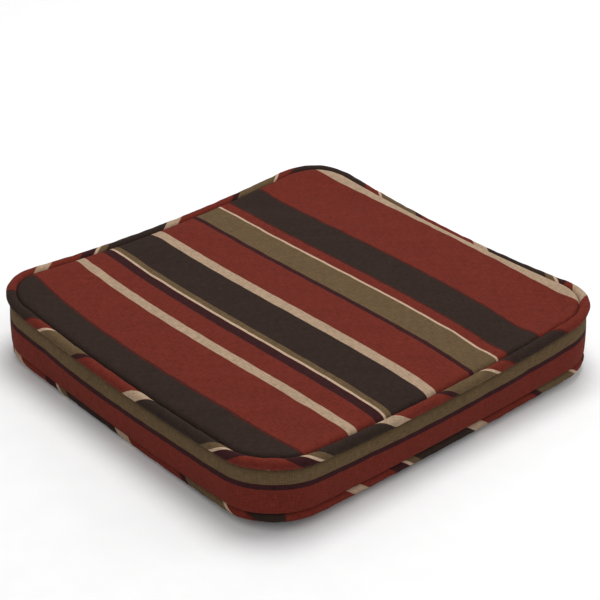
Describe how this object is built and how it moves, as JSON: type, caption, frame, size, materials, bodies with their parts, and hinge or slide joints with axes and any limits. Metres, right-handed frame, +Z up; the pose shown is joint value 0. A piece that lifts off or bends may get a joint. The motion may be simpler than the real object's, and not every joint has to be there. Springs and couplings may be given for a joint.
{
  "type": "chair seat pad",
  "caption": "Boxed, welted chair seat pad with rounded corners and a crowned top: a foam core in a fibre wrap inside a striped woven cover that unzips along the rear.",
  "frame": {"origin": "on the surface that the pad rests on, under the middle of its plan", "axes": "+X to the right along the width, +Y towards the rear edge with the zip, +Z up; the front edge faces -Y"},
  "size_m": [0.52, 0.51, 0.0837],
  "materials": {
    "foam": "open-cell cream foam",
    "fibre_wrap": "white bonded polyester fibre",
    "striped_cloth": "plain-weave outdoor cloth, woven in brown, red, tan, plum, cream and olive stripes",
    "boxing_cloth": "the same cloth cut along the stripe: olive over a maroon line over red",
    "bias_cloth": "the same striped cloth cut on the bias",
    "welt_filler": "soft spun filler cord",
    "thread": "dark twisted polyester thread",
    "zip_tape": "dark brown herringbone tape",
    "zip_coil": "dark brown nylon coil",
    "zip_metal": "antique brass, worn bright at the edges",
    "label": "blank white satin label"
  },
  "bodies": {
    "pad": {"foam_core": "foam", "upper_wrap": "fibre_wrap", "lower_wrap": "fibre_wrap", "top_panel": "striped_cloth", "bottom_panel": "striped_cloth", "boxing_strip": "boxing_cloth", "placket_upper": "boxing_cloth", "placket_lower": "boxing_cloth", "top_welt_casing": "bias_cloth", "bottom_welt_casing": "bias_cloth", "top_welt_cord": "welt_filler", "bottom_welt_cord": "welt_filler", "top_seam_thread": "thread", "bottom_seam_thread": "thread", "zip_tape_upper": "zip_tape", "zip_tape_lower": "zip_tape", "zip_coil_upper": "zip_coil", "zip_coil_lower": "zip_coil", "zip_bottom_stop": "zip_metal", "zip_top_stops": "zip_metal", "zip_stitching": "thread", "care_label": "label"},
    "slider": {"zip_slider": "zip_metal"},
    "pull": {"zip_pull": "zip_metal"}
  },
  "joints": [
    {"name": "zip_slide", "type": "slide", "parent": "pad", "child": "slider", "axis": [-1, 0, 0], "range_m": [0, 0.314]},
    {"name": "pull_hinge", "type": "hinge", "parent": "slider", "child": "pull", "pos_m": [0.1572, 0.2513, 0.0405], "axis": [0, 0, -1], "range_deg": [0, 175]}
  ]
}
